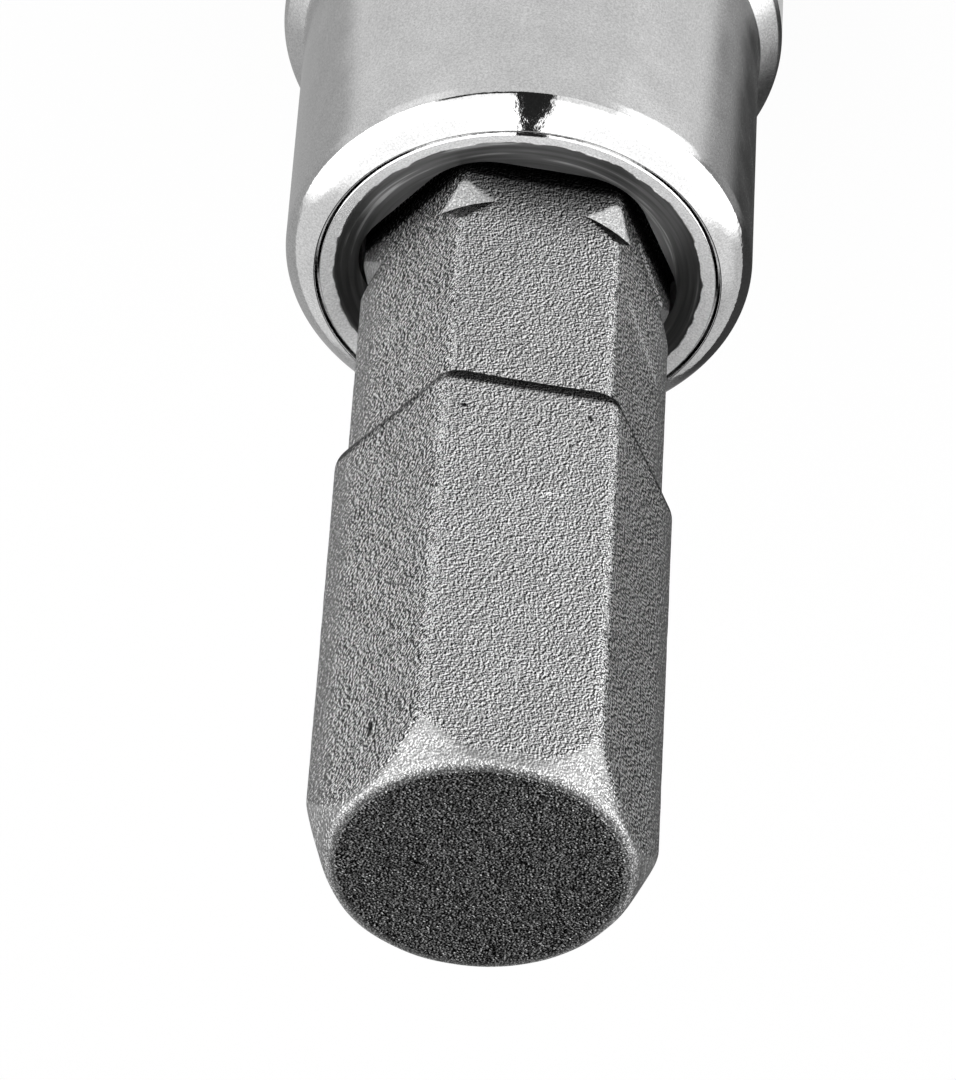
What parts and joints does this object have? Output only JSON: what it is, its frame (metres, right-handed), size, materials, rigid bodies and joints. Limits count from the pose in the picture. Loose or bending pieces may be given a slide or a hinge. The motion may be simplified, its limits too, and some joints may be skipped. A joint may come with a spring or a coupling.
{
  "type": "hex bit socket",
  "caption": "Chrome-plated turned socket with a square drive hole, holding a blasted steel hexagonal bit that pulls out along the axis against a spring ring.",
  "frame": {"origin": "centre of the drive face, which the socket stands on", "axes": "+Z along the axis from the drive face to the tip of the bit; the flats of the square hole face X and Y, and two corners of the hexagon lie on X"},
  "size_m": [0.0176, 0.0176, 0.05],
  "materials": {
    "plated_body": "bright chrome plate, satin on the nose",
    "blasted_bit": "grit-blasted tool steel",
    "spring_wire": "drawn spring wire"
  },
  "bodies": {
    "socket": {"socket_body": "plated_body", "retaining_ring": "spring_wire"},
    "bit": {"hex_bit": "blasted_bit"}
  },
  "joints": [
    {"name": "bit_slide", "type": "slide", "parent": "socket", "child": "bit", "axis": [0, 0, 1], "range_m": [0, 0.012]}
  ]
}
